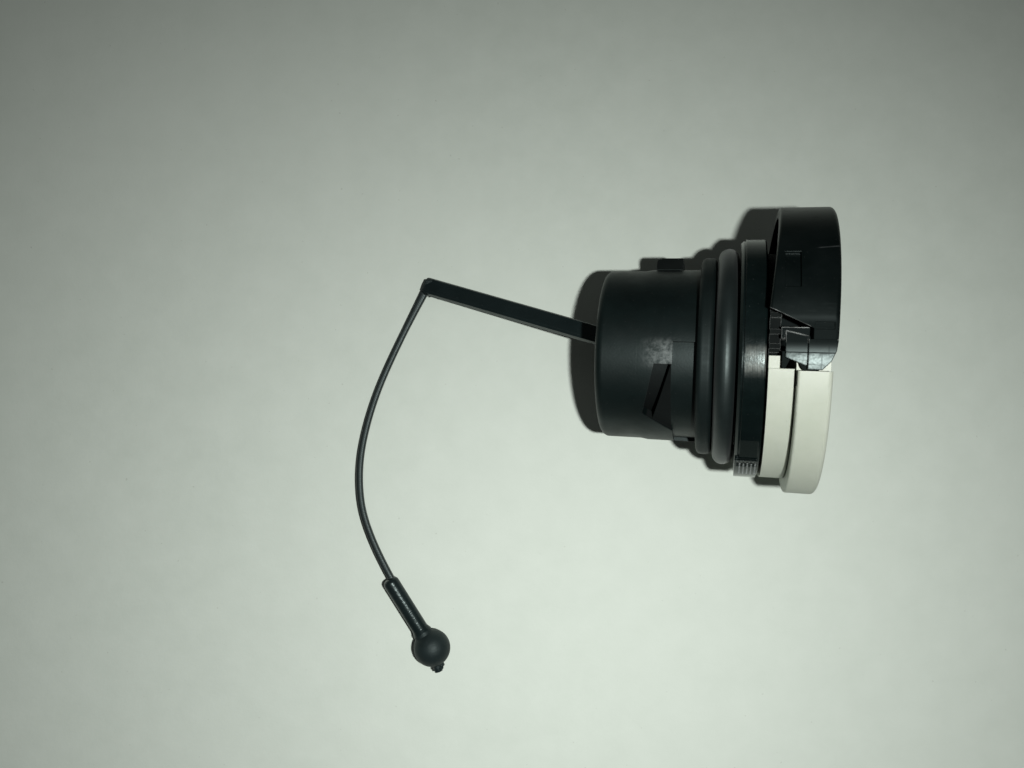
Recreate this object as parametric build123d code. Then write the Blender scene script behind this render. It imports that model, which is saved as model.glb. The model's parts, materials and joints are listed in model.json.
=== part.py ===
"""Quarter-turn fuel filler cap with a fold-up grip and a captive tether.

Every piece is drawn in the cap frame: the cap's axis is Z, Z = 0 is the open end of the plug and the
head is at the top.  Y points to the closed black half of the head, -Y to the grip, and the grip's
hinge lies along X.  At the end the pieces are laid on their side, as the cap rests on a table: on the
edge of the plug, the rim of the grip and the foot of the black skirt.  Sizes are in millimetres.
"""
from build123d import *
from math import acos, asin, atan2, cos, degrees, hypot, radians, sin, sqrt, tan
import os

# ---- driving dimensions ---------------------------------------------------------------------------
RUNNING_GAP = 0.3           # between moving faces
PIN_GAP = 0.06              # radial clearance of shafts in their bores
SEAT_GAP = 0.02             # radial clearance of pieces pressed home

# plug
PLUG_R = 14.0
PILOT_STEP = 0.2            # the plug's lead-in band is this much smaller in radius
PILOT_LENGTH = 6.4
PILOT_CONE = 1.2            # length of the cone from the lead-in band to full size
PLUG_WALL = 2.2
PLUG_END_ROUND = 1.2
PLUG_LENGTH = 15.3          # open end to the shoulder ring
SHOULDER_STEP = 1.9         # the shoulder ring stands out this far from the plug
SHOULDER_WIDTH = 2.4
SHOULDER_ROUND = 0.8
GROOVE_STEP = 0.1           # floor of the seal groove above the plug
GROOVE_WIDTH = 3.5
SEAL_SECTION = 3.2
FLANGE_R = 18.8
FLANGE_WIDTH = 3.7
FLANGE_STEP = 0.25          # the flange's front band is this much smaller in radius
FLANGE_STEP_WIDTH = 0.7
FLANGE_CHAMFER = 0.4
LEDGE_WIDTH = 3.2           # inner ledge that carries the hub
LEDGE_REACH = 2.9
LEDGE_TOP_DEPTH = 8.8       # below the flange's top face

# bayonet track in the plug wall; angles run from the side that faces up at rest towards +Y
TRACK_DEPTH = 0.6
CHANNEL_WIDTH = 3.4
CHANNEL_FROM = -80.0
CHANNEL_TO = 9.8
RAMP_LENGTH = 4.5           # the ramp pocket's reach below the channel
RAMP_RISE = 1.8             # how far its closed wall slants along the axis
RAMP_START = -6.0
RAMP_CORNER = -38.0
RAMP_END = -54.0
CAM_SLOT_WIDTH = 2.5
KEY_HEIGHT = 1.9
KEY_WIDTH = 4.1
KEY_Z = 8.1
KEY_ANGLE = 99.0
KEY_SPREAD = 15.0
KEY_ROUND = 0.8

# flange marks
PAD_HEIGHT = 0.35
PAD_WIDTH = 3.3
PAD_FROM = -80.0
PAD_TO = -52.0
FLAT_ANGLE = -45.0
FLAT_HALF = 6.5

# head
HEAD_R = 21.2
SHELL_OFFSET = 2.45         # the black half's arc is centred this far towards +Y
SHELL_WALL = 1.6
TOP_PLATE = 2.0
SHELL_HEIGHT = 9.3          # hub disc to the top face, at the far side
TOP_SLOPE = 0.6             # how much lower the top face is at the hinge
SKIRT_DROP = 0.2            # the ends of the skirt's foot hang this far below the hub disc
SKIRT_RISE = 1.7            # how much higher the foot is at the far side
SHELL_ROUND = 0.7
FOOT_ROUND = 0.35
SKIRT_END_FOOT = 7.3       # how far the skirt stops from the hinge line, at its foot
SKIRT_END_MID = 4.6         # and level with the hinge
RIB = 1.0
RIB_PITCH = 6.4
RIB_COUNT = 5
SEAT_INSET = 2.2            # white seat inside the head's outer radius
SEAT_WALL = 1.6
SEAT_HEIGHT = 3.45
SEAT_SLOPE = 0.2            # how much lower the seat is at its rim than at the hinge
GRIP_HEIGHT = 4.5
GRIP_ROUND = 0.7
GRIP_FOOT_ROUND = 0.3
GRIP_FLOOR = 1.9
GRIP_RIM = 2.4
HINGE_ABOVE_SEAT = 2.05
KNUCKLE_R = 1.84
PIN_R = 0.6
EAR_R = 1.5
CHEEK_FOOT = 1.0            # the ears' outer cheeks end this far past the hinge line
EAR_THICKNESS = 1.5
EAR_INSET = 1.1             # outer face of the ears inside the head's outer radius
EAR_STEP = 0.5
HINGE_NOTCH = 3.3           # the grip is cut back this far from the hinge, to clear the ears
GRIP_LIP = 1.15             # outside the ears a lip runs on to this far from the hinge
SEAM = 1.0                  # the white pieces start this far from the hinge line
HUB_EDGE = 0.9              # between the hub disc and the seat's wall
HUB_DISC = 1.5
HUB_LUG_INSET = 0.5

# inside
ROTOR_WALL = 1.8
ROTOR_FLOOR = 1.6
ROTOR_MOUTH = 4.0           # rotor's open end above the plug's end
STOP_WIDTH = 3.0
STOP_REACH = 1.5
STOP_TOP = 6.5
QUARTER_TURN = 90.0
HUB_SEAL_SECTION = 1.24
SCREW_R = 1.0
SCREW_HEAD_R = 1.6
SCREW_HEAD = 1.3
SCREW_LENGTH = 8.0
SCREW_INSET = 2.9           # screws inside the post's outer radius
SPRING_STOCK = 0.4
LEAF_STOCK = 0.3
LEAF_WIDTH = 8.0

# tether
FOOT_R = 2.0
ARM_WIDTH = 3.1
ARM_THICKNESS = 1.8
ARM_BEVEL = 0.35
ARM_ROLL = 18.0             # degrees the bar leans about its own length
ARM_REACH = (-32.0, 11.6)   # the fold, along X and Y from the middle of the plug's open end
ARM_TIP_HEIGHT = 1.45       # of the bar's middle above the table, at the fold
FOLD_BEVEL = 0.3
FOLD_OUTLINE = [
    # seen from above, from the fold: the bar's end narrows into the strap
    (-0.25, 1.2), (1.0, 1.3), (1.7, 0.6), (1.1, -1.7), (0.0, -1.75), (-1.0, -0.8), (-0.7, 0.2)]
STRAP_WIDTH = 1.1
STRAP_DEPTH = 1.3
STRAP_ROUND = 0.3
STRAP_ROUTE = [
    # along X and Y from the fold, and height above the table; the ball holds the far end up
    (0.0, 0.0, 0.75), (-5.3, -11.3, 0.85), (-9.6, -22.9, 1.3), (-11.4, -34.4, 2.0), (-9.3, -45.3, 2.75),
    (-3.8, -54.0, 3.3)]
BARREL_R = 1.45
BARREL_LENGTH = 11.7
BARREL_ROUND = 0.9
BARREL_OFFSET = 0.4         # the strap meets the barrel this far off its middle
BALL_R = 3.3
NUB_R = 0.75
NUB_LENGTH = 1.1
NUB_TURN = 16.0             # degrees in the level between the barrel and the nub
BARREL_TURN = 2.0           # degrees between the strap's end and the barrel

# ---- stations along the axis ----------------------------------------------------------------------
SHOULDER_TOP = PLUG_LENGTH + SHOULDER_WIDTH
GROOVE_TOP = SHOULDER_TOP + GROOVE_WIDTH
FLANGE_TOP = GROOVE_TOP + FLANGE_WIDTH
LEDGE_TOP = FLANGE_TOP - LEDGE_TOP_DEPTH
LEDGE_FOOT = LEDGE_TOP - LEDGE_WIDTH
PLUG_BORE = PLUG_R - PLUG_WALL
PILOT_R = PLUG_R - PILOT_STEP
SHOULDER_R = PLUG_R + SHOULDER_STEP
GROOVE_R = PLUG_R + GROOVE_STEP
POST_R = PLUG_BORE - LEDGE_REACH
SCREW_CIRCLE = POST_R - SCREW_INSET
SEAT_R = HEAD_R - SEAT_INSET
EAR_FACE = HEAD_R - EAR_INSET
HUB_DISC_R = SEAT_R - SEAT_WALL - HUB_EDGE
HUB_LUG_R = SEAT_R - HUB_LUG_INSET
ROTOR_R = PLUG_BORE - RUNNING_GAP
SHOULDER_POST_R = PLUG_BORE - RUNNING_GAP
STOP_HALF = degrees(STOP_WIDTH / PLUG_BORE) / 2
ROTOR_TOP = LEDGE_FOOT - RUNNING_GAP
FLOOR_FOOT = ROTOR_TOP - ROTOR_FLOOR
HEAD_FOOT = FLANGE_TOP + RUNNING_GAP
HUB_TOP = HEAD_FOOT + HUB_DISC
SEAT_TOP = HEAD_FOOT + SEAT_HEIGHT
GRIP_FOOT = SEAT_TOP + 0.25
HINGE_Z = SEAT_TOP + HINGE_ABOVE_SEAT
GRIP_TOP = GRIP_FOOT + GRIP_HEIGHT
HEAD_TOP = HEAD_FOOT + SHELL_HEIGHT
SEAM_TOP = HEAD_TOP - TOP_SLOPE
SKIRT_FOOT = HEAD_FOOT - SKIRT_DROP
GRIP_OVER_HINGE = GRIP_TOP - HINGE_Z
BULKHEAD_Y = hypot(GRIP_OVER_HINGE, 0.4) + RUNNING_GAP + 0.1
EAR_INNER = EAR_FACE - EAR_THICKNESS
GRIP_SPAN = EAR_INNER - RUNNING_GAP
POST_SHOULDER = LEDGE_TOP + 1.25
ARM_ROOT = FLOOR_FOOT - 0.9
BALL_Z = BARREL_LENGTH + BALL_R * 0.9       # ball's centre, from the start of the barrel


# ---- drawing helpers ------------------------------------------------------------------------------
def outward(angle):
    """Unit vector away from the axis, at an angle from the upper side towards +Y."""
    return Vector(-cos(radians(angle)), sin(radians(angle)), 0)


def turned(points):
    """Solid of revolution about the axis from an (r, z) outline."""
    return revolve(Plane.XZ * make_face(Polyline(*points, close=True)), Axis.Z)


def tube(r_out, r_in, low, high):
    return turned([(r_in, low), (r_out, low), (r_out, high), (r_in, high)])


def rod(radius, low, high, x=0.0, y=0.0):
    return extrude(Pos(x, y, low) * Circle(radius), high - low)


def band(r_in, r_out, low, high, angle_from, angle_to):
    """Part of a tube between two angles."""
    face = Plane.XZ * make_face(Polyline((r_in, low), (r_out, low), (r_out, high), (r_in, high), close=True))
    return Rot(0, 0, 180 - angle_to) * revolve(face, Axis.Z, angle_to - angle_from)


def wall_patch(points, r_in, r_out):
    """Patch of a cylindrical wall with an outline of (z, angle) corners."""
    angles = [angle for _, angle in points]
    middle = (min(angles) + max(angles)) / 2
    across = outward(middle + 90)
    view = Plane(origin=(0, 0, 0), x_dir=-across, z_dir=outward(middle))
    corners = [(-r_out * sin(radians(angle - middle)), z) for z, angle in points]
    prism = extrude(view * make_face(Polyline(*corners, close=True)), r_out + 1)
    heights = [z for z, _ in points]
    return prism & tube(r_out, r_in, min(heights) - 1, max(heights) + 1)


def side_prism(points, x_from, x_to):
    """Prism along X with a (y, z) outline."""
    face = Plane.YZ * make_face(Polyline(*points, close=True))
    return Pos(x_from, 0, 0) * extrude(face, x_to - x_from)


def rim(part, radius, z):
    """Circular edges of one radius at one height."""
    edges = part.edges().filter_by(GeomType.CIRCLE)
    return [e for e in edges if abs(e.radius - radius) < 1e-3 and abs(e.arc_center.Z - z) < 1e-3]


def half_disc(radius, y_from, low, high, centre_y=0.0):
    """Disc cut off along a line y = y_from, keeping the +Y side."""
    keep = Pos(0, y_from + 2 * radius) * Rectangle(5 * radius, 4 * radius)
    return Pos(0, 0, low) * extrude((Pos(0, centre_y) * Circle(radius)) & keep, high - low)


def mirrored_ends(part):
    """The piece and its mirror image at the other end of the hinge."""
    return part + mirror(part, Plane.YZ)


# ---- plug side ------------------------------------------------------------------------------------
def plug_body():
    band_r = FLANGE_R - FLANGE_STEP
    body = turned([
        (PLUG_BORE, 0), (PILOT_R, 0), (PILOT_R, PILOT_LENGTH),
        (PLUG_R, PILOT_LENGTH + PILOT_CONE), (PLUG_R, PLUG_LENGTH),
        (SHOULDER_R, PLUG_LENGTH), (SHOULDER_R, SHOULDER_TOP), (GROOVE_R, SHOULDER_TOP), (GROOVE_R, GROOVE_TOP),
        (band_r, GROOVE_TOP), (band_r, GROOVE_TOP + FLANGE_STEP_WIDTH), (FLANGE_R, GROOVE_TOP + FLANGE_STEP_WIDTH),
        (FLANGE_R, FLANGE_TOP), (PLUG_BORE, FLANGE_TOP), (PLUG_BORE, LEDGE_TOP),
        (POST_R + PIN_GAP, LEDGE_TOP), (POST_R + PIN_GAP, LEDGE_FOOT), (PLUG_BORE, LEDGE_FOOT),
    ])
    body = fillet(rim(body, PILOT_R, 0), PLUG_END_ROUND)
    body = fillet(rim(body, SHOULDER_R, PLUG_LENGTH) + rim(body, SHOULDER_R, SHOULDER_TOP), SHOULDER_ROUND)
    body = chamfer(rim(body, band_r, GROOVE_TOP), FLANGE_CHAMFER)
    body = fillet(rim(body, FLANGE_R, FLANGE_TOP), 0.3)
    for turn in (0, 180):
        body -= Rot(0, 0, turn) * bayonet_track()
    return body + key_lug() + flange_pad() + turn_stop() - flange_flat()


def bayonet_track():
    """Shallow channel, the ramp pocket beside it and the cam slot through the wall."""
    channel_low = PLUG_LENGTH - CHANNEL_WIDTH - 0.1
    floor_r = PLUG_R - TRACK_DEPTH
    pocket_low = channel_low - RAMP_LENGTH
    channel = band(floor_r, PLUG_R + 1, channel_low, PLUG_LENGTH - 0.1, CHANNEL_FROM, CHANNEL_TO)
    pocket = wall_patch([
        (pocket_low + RAMP_RISE, RAMP_START), (channel_low + 0.3, RAMP_START), (channel_low + 0.3, RAMP_END),
        (channel_low, RAMP_END), (pocket_low, RAMP_CORNER)], floor_r, PLUG_R + 1)
    slot = wall_patch([
        (pocket_low + RAMP_RISE, RAMP_START), (pocket_low + RAMP_RISE + CAM_SLOT_WIDTH, RAMP_START),
        (pocket_low + CAM_SLOT_WIDTH * 0.6, RAMP_CORNER - 5), (pocket_low, RAMP_CORNER)], PLUG_BORE - 0.5, PLUG_R + 1)
    return channel + pocket + slot


def key_lug():
    """Lug that lets the cap enter its neck one way round."""
    lug = band(PLUG_R - 0.5, PLUG_R + KEY_HEIGHT, KEY_Z, KEY_Z + KEY_WIDTH,
               KEY_ANGLE - KEY_SPREAD, KEY_ANGLE + KEY_SPREAD)
    return fillet(rim(lug, PLUG_R + KEY_HEIGHT, KEY_Z), KEY_ROUND)


def flange_pad():
    """Low pad on the flange's rim, for the fingers."""
    return band(FLANGE_R - 0.5, FLANGE_R + PAD_HEIGHT, FLANGE_TOP - 0.3 - PAD_WIDTH, FLANGE_TOP - 0.3,
                PAD_FROM, PAD_TO)


def flange_flat():
    """Narrow flat milled in the flange's rim beside the pad."""
    depth = FLANGE_R * (1 - cos(radians(FLAT_HALF)))
    low = GROOVE_TOP + FLANGE_STEP_WIDTH / 2
    block = Box(2 * depth, FLANGE_R, FLANGE_TOP - 0.4 - low, align=(Align.MAX, Align.CENTER, Align.MIN))
    return Rot(0, 0, -FLAT_ANGLE) * Pos(depth - FLANGE_R, 0, low) * block


def turn_stop():
    """Rib on the inner wall that ends the quarter turn."""
    return band(PLUG_BORE - STOP_REACH, PLUG_BORE + 0.5, STOP_TOP - 4, STOP_TOP, 90 - STOP_HALF, 90 + STOP_HALF)


def seal_ring():
    middle = (SHOULDER_TOP + GROOVE_TOP) / 2
    ring_r = GROOVE_R + 0.05 + SEAL_SECTION / 2
    return Pos(0, 0, middle) * Torus(ring_r, SEAL_SECTION / 2)


# ---- head side ------------------------------------------------------------------------------------
def lock_rotor():
    """Cup behind the cam slots.  A gap in its rim meets the stop rib at both ends of the quarter turn."""
    inner = ROTOR_R - ROTOR_WALL
    cup = turned([
        (FOOT_R + PIN_GAP, FLOOR_FOOT), (inner, FLOOR_FOOT), (inner, ROTOR_MOUTH), (ROTOR_R, ROTOR_MOUTH),
        (ROTOR_R, ROTOR_TOP), (FOOT_R + PIN_GAP, ROTOR_TOP)])
    cup = fillet(rim(cup, inner, FLOOR_FOOT), 0.8)
    half = STOP_HALF + degrees(RUNNING_GAP / (PLUG_BORE - STOP_REACH))
    cup -= band(inner - 1, ROTOR_R + 1, ROTOR_MOUTH - 1, STOP_TOP + RUNNING_GAP, 90 - half, 90 + half + QUARTER_TURN)
    for x, y in screw_places():
        cup -= rod(SCREW_R + 0.2, FLOOR_FOOT - 1, ROTOR_TOP + 1, x, y)
    return cup


def screw_places():
    return [(SCREW_CIRCLE, 0), (-SCREW_CIRCLE, 0)]


def rotor_screws():
    screws = []
    for x, y in screw_places():
        head = rod(SCREW_HEAD_R, FLOOR_FOOT - SCREW_HEAD, FLOOR_FOOT, x, y)
        head = fillet(rim(head, SCREW_HEAD_R, FLOOR_FOOT - SCREW_HEAD), 0.6)
        for turn in (0, 90):
            recess = Box(1.2 * SCREW_HEAD_R, 0.45, 0.7, align=(Align.CENTER, Align.CENTER, Align.MIN))
            head -= Pos(x, y, FLOOR_FOOT - SCREW_HEAD) * Rot(0, 0, turn) * recess
        shank = rod(SCREW_R, FLOOR_FOOT - 0.2, FLOOR_FOOT + SCREW_LENGTH, x, y)
        screws.append(head + chamfer(rim(shank, SCREW_R, FLOOR_FOOT + SCREW_LENGTH), 0.4))
    return screws[0] + screws[1]


def hub_seal_z():
    return (LEDGE_FOOT + LEDGE_TOP) / 2


def hub_seal():
    ring_r = POST_R + PIN_GAP - 0.02 - HUB_SEAL_SECTION / 2
    return Pos(0, 0, hub_seal_z()) * Torus(ring_r, HUB_SEAL_SECTION / 2)


def head_hub():
    """Post through the plug's ledge and the disc that carries both halves of the head."""
    seat_r = POST_R - HUB_SEAL_SECTION
    seal_half = HUB_SEAL_SECTION / 2 + 0.2
    pocket_r = FOOT_R + 1.3
    pocket_top = ROTOR_TOP + 3.0
    core_r = SHOULDER_POST_R - 2.0
    core_foot = POST_SHOULDER + 1.6
    hub = turned([
        (pocket_r, ROTOR_TOP), (POST_R, ROTOR_TOP), (POST_R, hub_seal_z() - seal_half),
        (seat_r, hub_seal_z() - seal_half), (seat_r, hub_seal_z() + seal_half),
        (POST_R, hub_seal_z() + seal_half), (POST_R, POST_SHOULDER), (SHOULDER_POST_R, POST_SHOULDER),
        (SHOULDER_POST_R, HEAD_FOOT), (HUB_DISC_R, HEAD_FOOT), (HUB_DISC_R, HUB_TOP), (core_r, HUB_TOP),
        (core_r, core_foot), (0, core_foot), (0, pocket_top), (pocket_r, pocket_top)])
    for turn in (0, 90):
        web = Box(2 * core_r + 1, RIB, HUB_TOP - core_foot + 0.5, align=(Align.CENTER, Align.CENTER, Align.MIN))
        hub += Pos(0, 0, core_foot - 0.5) * Rot(0, 0, turn) * web
    for x, y in screw_places():
        hub += rod(SCREW_R + 1.2, core_foot - 0.5, FLOOR_FOOT + SCREW_LENGTH + 1.5, x, y)
        hub -= rod(SCREW_R + SEAT_GAP, ROTOR_TOP - 1, FLOOR_FOOT + SCREW_LENGTH + 0.5, x, y)
    return hub + mirrored_ends(hub_lug())


def hub_lug():
    """Finned lug at the end of the hinge, seen between flange and shell."""
    lug_y = (SEAM + 0.15, SKIRT_END_FOOT + 1.0)
    block = side_prism([(lug_y[0], HEAD_FOOT), (lug_y[1], HEAD_FOOT), (lug_y[1], HUB_TOP), (lug_y[0], HUB_TOP)],
                       HUB_DISC_R - 4, HUB_LUG_R - 1.1)
    for place in (0.08, 0.36, 0.68):
        y = lug_y[0] + place * (lug_y[1] - lug_y[0])
        block += side_prism([(y, HEAD_FOOT), (y + 0.7, HEAD_FOOT), (y + 0.7, HUB_TOP), (y, HUB_TOP)],
                            HUB_DISC_R - 3, HUB_LUG_R)
    return block


def spring_washer():
    """Cone washer between the plug's ledge and the post's shoulder."""
    inner, outer = POST_R + PIN_GAP + 0.3, PLUG_BORE - 0.5
    low, high = LEDGE_TOP + 0.05, POST_SHOULDER - 0.05
    return turned([(outer, low), (outer, low + SPRING_STOCK), (inner, high), (inner, high - SPRING_STOCK)])


def shell_side():
    """Side view of the shell: top and foot rise away from the hinge, the ends slope to the skirt's foot."""
    far = HEAD_R + SHELL_OFFSET
    return [(BULKHEAD_Y, SEAM_TOP), (BULKHEAD_Y, HINGE_Z), (SKIRT_END_MID, HINGE_Z), (SKIRT_END_FOOT, SKIRT_FOOT),
            (far, SKIRT_FOOT + SKIRT_RISE), (far, HEAD_TOP)]


def shell_cavity():
    """Hollow of the shell; its ceiling is parallel to the top face."""
    far = HEAD_R + SHELL_OFFSET
    low = SKIRT_FOOT - 1
    side = [(BULKHEAD_Y - 1, low), (far, low), (far, HEAD_TOP - TOP_PLATE), (BULKHEAD_Y, SEAM_TOP - TOP_PLATE),
            (BULKHEAD_Y - 1, SEAM_TOP - TOP_PLATE)]
    return half_disc(HEAD_R - SHELL_WALL, BULKHEAD_Y - 1, low, HEAD_TOP, SHELL_OFFSET) & side_prism(side, -far, far)


def head_shell():
    """Closed half of the head: top plate, skirt, ribs, bulkhead along the hinge and the two ears."""
    buried = SEAM_TOP - TOP_PLATE / 3
    outer = half_disc(HEAD_R, BULKHEAD_Y, SKIRT_FOOT, HEAD_TOP, SHELL_OFFSET)
    outer &= side_prism(shell_side(), -HEAD_R - 1, HEAD_R + 1)
    curved = [e for e in outer.edges() if e.geom_type != GeomType.LINE and e.length > HEAD_R]
    outer = fillet([e for e in curved if e.center().Z > HINGE_Z], SHELL_ROUND)
    curved = [e for e in outer.edges() if e.geom_type != GeomType.LINE and e.length > HEAD_R]
    outer = fillet([e for e in curved if e.center().Z < HINGE_Z], FOOT_ROUND)
    shell = outer - shell_cavity()
    for foot, reach in ((HUB_TOP, EAR_INNER + 0.3), (HINGE_Z, EAR_FACE - 0.3)):
        shell += side_prism([(BULKHEAD_Y, foot), (BULKHEAD_Y + SHELL_WALL, foot),
                             (BULKHEAD_Y + SHELL_WALL, buried), (BULKHEAD_Y, buried)], -reach, reach)
    shell += shell_ribs(buried) + mirrored_ends(hinge_ear())
    shell -= skirt_sinks()
    pin_hole = Pos(0, 0, HINGE_Z) * Rot(0, 90, 0) * Cylinder(PIN_R + SEAT_GAP, 4, align=(Align.CENTER,) * 2 + (Align.MIN,))
    shell -= Pos(EAR_INNER - 1, 0, 0) * pin_hole
    shell -= Pos(-EAR_INNER - EAR_THICKNESS / 2, 0, 0) * pin_hole
    return shell


def shell_ribs(top):
    """Stiffening ribs from the bulkhead to the skirt; their feet stand on the hub disc."""
    reach = half_disc(HEAD_R - SHELL_WALL + 0.5, BULKHEAD_Y + 0.5, HUB_TOP, top, SHELL_OFFSET)
    blades = None
    for n in range(RIB_COUNT):
        x = (n - (RIB_COUNT - 1) / 2) * RIB_PITCH
        foot = HUB_TOP if n % 2 == 0 else HUB_TOP + 2.5
        blade = side_prism([(BULKHEAD_Y, foot), (HUB_DISC_R * 0.8, foot), (HEAD_R + SHELL_OFFSET, HUB_TOP + 1.8),
                            (HEAD_R + SHELL_OFFSET, top), (BULKHEAD_Y, top)],
                           x - RIB / 2, x + RIB / 2)
        blades = blade if blades is None else blades + blade
    return blades & reach


def skirt_sinks():
    """Shallow rectangular sinks in the outside of the skirt, near the hinge."""
    large = band(HEAD_R - 0.5, HEAD_R + 1, HEAD_FOOT + 1.7, HEAD_FOOT + 3.8, 21.5, 37)
    small = band(HEAD_R - 0.25, HEAD_R + 1, HINGE_Z + 0.1, HINGE_Z + 2.6, 5.5, 8.2)
    return Pos(0, SHELL_OFFSET, 0) * (large + small)


def hinge_ear():
    """Ear at the end of the hinge: an upper and a lower cheek, the knuckle behind them and the clip foot."""
    face = tube(EAR_FACE, EAR_INNER - 3, HUB_TOP, HEAD_TOP)
    upper = side_prism([
        (BULKHEAD_Y, HINGE_Z - 0.5), (-CHEEK_FOOT, HINGE_Z - 0.5), (-CHEEK_FOOT, HINGE_Z + 1.4),
        (0.2, HINGE_Z + 2.5), (1.6, HINGE_Z + 3.1), (BULKHEAD_Y - 0.1, HINGE_Z + 3.3),
        (BULKHEAD_Y, SEAM_TOP - 0.1), (BULKHEAD_Y + 0.5, SEAM_TOP - 0.1), (BULKHEAD_Y + 0.5, HINGE_Z + 0.1),
        (BULKHEAD_Y, HINGE_Z + 0.1)], EAR_INNER, EAR_FACE + 1)
    foot = HUB_TOP + 0.6
    lower = side_prism([(0.6, foot), (BULKHEAD_Y + 1.1, foot), (BULKHEAD_Y + 0.3, HINGE_Z), (-0.5, HINGE_Z),
                        (-0.5, HINGE_Z - 0.7)], EAR_INNER, EAR_FACE + 1)
    knuckle = Pos(EAR_INNER, 0, HINGE_Z) * Rot(0, 90, 0) * Cylinder(
        EAR_R, EAR_THICKNESS / 2, align=(Align.CENTER, Align.CENTER, Align.MIN))
    clip = side_prism([(1.4, HUB_TOP + 0.2), (-0.9, HUB_TOP + 0.2), (-0.9, foot + 0.1), (0.4, foot + 0.7),
                       (1.4, foot + 0.7)], EAR_INNER, EAR_INNER + 0.7)
    return (upper & face) + (lower & tube(EAR_FACE - EAR_STEP, EAR_INNER - 3, HUB_TOP, HEAD_TOP)) + knuckle + clip


def seat_cover():
    """White half-moon under the grip; its top slopes to the rim to leave a finger edge."""
    rim_z = SEAT_TOP - SEAT_SLOPE
    moon = Rot(0, 0, 180) * half_disc(SEAT_R, SEAM, HEAD_FOOT, SEAT_TOP)
    slope = side_prism([(-SEAM, SEAT_TOP), (-SEAT_R - 1, rim_z), (-SEAT_R - 1, SEAT_TOP + 1), (-SEAM, SEAT_TOP + 1)],
                       -SEAT_R - 1, SEAT_R + 1)
    moon = moon - slope
    hollow = Rot(0, 0, 180) * half_disc(SEAT_R - SEAT_WALL, SEAM - 1, HEAD_FOOT - 1, HUB_TOP + 0.05)
    lug = side_prism([(-SEAM - 1, HEAD_FOOT), (0.75, HEAD_FOOT), (0.75, HUB_TOP), (-SEAM - 1, HUB_TOP)],
                     HUB_DISC_R + 0.3, SEAT_R - 0.4)
    return moon - hollow + mirrored_ends(lug)


def flip_grip():
    """Fold-up half-moon with its knuckle, cored from below between ribs."""
    moon = Rot(0, 0, 180) * half_disc(HEAD_R, 0, GRIP_FOOT, GRIP_TOP)
    moon = fillet(rim(moon, HEAD_R, GRIP_TOP), GRIP_ROUND)
    moon = fillet(rim(moon, HEAD_R, GRIP_FOOT), GRIP_FOOT_ROUND)
    moon -= mirrored_ends(ear_notch()) + grip_cores()
    nose = side_prism([(0.4, HINGE_Z), (0.4, GRIP_TOP - 0.4), (0.0, GRIP_TOP), (-2.5, GRIP_TOP), (-2.5, HINGE_Z)],
                      -GRIP_SPAN, GRIP_SPAN)
    knuckle = Pos(-GRIP_SPAN, 0, HINGE_Z) * Rot(0, 90, 0) * Cylinder(
        KNUCKLE_R, 2 * GRIP_SPAN, align=(Align.CENTER, Align.CENTER, Align.MIN))
    bore = Pos(-GRIP_SPAN - 1, 0, HINGE_Z) * Rot(0, 90, 0) * Cylinder(
        PIN_R + PIN_GAP, 2 * GRIP_SPAN + 2, align=(Align.CENTER, Align.CENTER, Align.MIN))
    return moon + nose + knuckle - bore


def ear_notch():
    """Room for an ear in the grip's corner; a lip of the rim stays outside it."""
    def corner(back, x_to):
        top = GRIP_TOP + 1
        return side_prism([(-back, SEAT_TOP), (1, SEAT_TOP), (1, top), (-back, top)], GRIP_SPAN, x_to)
    return corner(HINGE_NOTCH, EAR_FACE + RUNNING_GAP) + corner(GRIP_LIP, HEAD_R + 1)


def grip_cores():
    """Pockets in the grip's underside."""
    area = Rot(0, 0, 180) * half_disc(HEAD_R - GRIP_RIM, SEAM + 2.6, GRIP_FOOT - 1, GRIP_TOP - GRIP_FLOOR)
    for n in range(RIB_COUNT):
        x = (n - (RIB_COUNT - 1) / 2) * RIB_PITCH
        area -= Pos(x, 0, GRIP_FOOT) * Box(RIB, 3 * HEAD_R, 4 * GRIP_HEIGHT)
    return area


def hinge_pin():
    blind = EAR_INNER + EAR_THICKNESS / 2 - 0.1
    pin = Pos(-blind, 0, HINGE_Z) * Rot(0, 90, 0) * Cylinder(
        PIN_R, blind + EAR_FACE - 0.1, align=(Align.CENTER, Align.CENTER, Align.MIN))
    return chamfer(pin.edges().filter_by(GeomType.CIRCLE), 0.2)


def grip_spring():
    """Leaf bent over like a low hat, its crest just under the grip's knuckle."""
    crest = HINGE_Z - KNUCKLE_R - RUNNING_GAP - LEAF_STOCK / 2
    foot = HUB_TOP + LEAF_STOCK / 2 + 0.02
    middle = [(BULKHEAD_Y - 0.3, foot), (1.7, foot), (1.0, crest), (-0.2, crest), (-0.75, foot + 0.3)]
    path = FilletPolyline(*[Vector(0, y, z) for y, z in middle], radius=0.35)
    section = Plane(path @ 0, x_dir=(1, 0, 0), z_dir=path % 0) * Rectangle(LEAF_WIDTH, LEAF_STOCK)
    return sweep(section, path)


# ---- how the cap lies -----------------------------------------------------------------------------
def lying_angles():
    """Tilt of the axis and height of the plug's end, from the plug's edge and the grip's rim on the table."""
    plug_z, plug_r, plug_round = PLUG_END_ROUND, PILOT_R - PLUG_END_ROUND, PLUG_END_ROUND
    grip_z, grip_r, grip_round = GRIP_FOOT + GRIP_FOOT_ROUND, HEAD_R - GRIP_FOOT_ROUND, GRIP_FOOT_ROUND
    along, out = grip_z - plug_z, grip_r - plug_r
    tilt = degrees(atan2(out, along) + asin((grip_round - plug_round) / hypot(along, out)))
    height = plug_r * cos(radians(tilt)) + plug_round - plug_z * sin(radians(tilt))
    return tilt, height


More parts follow.
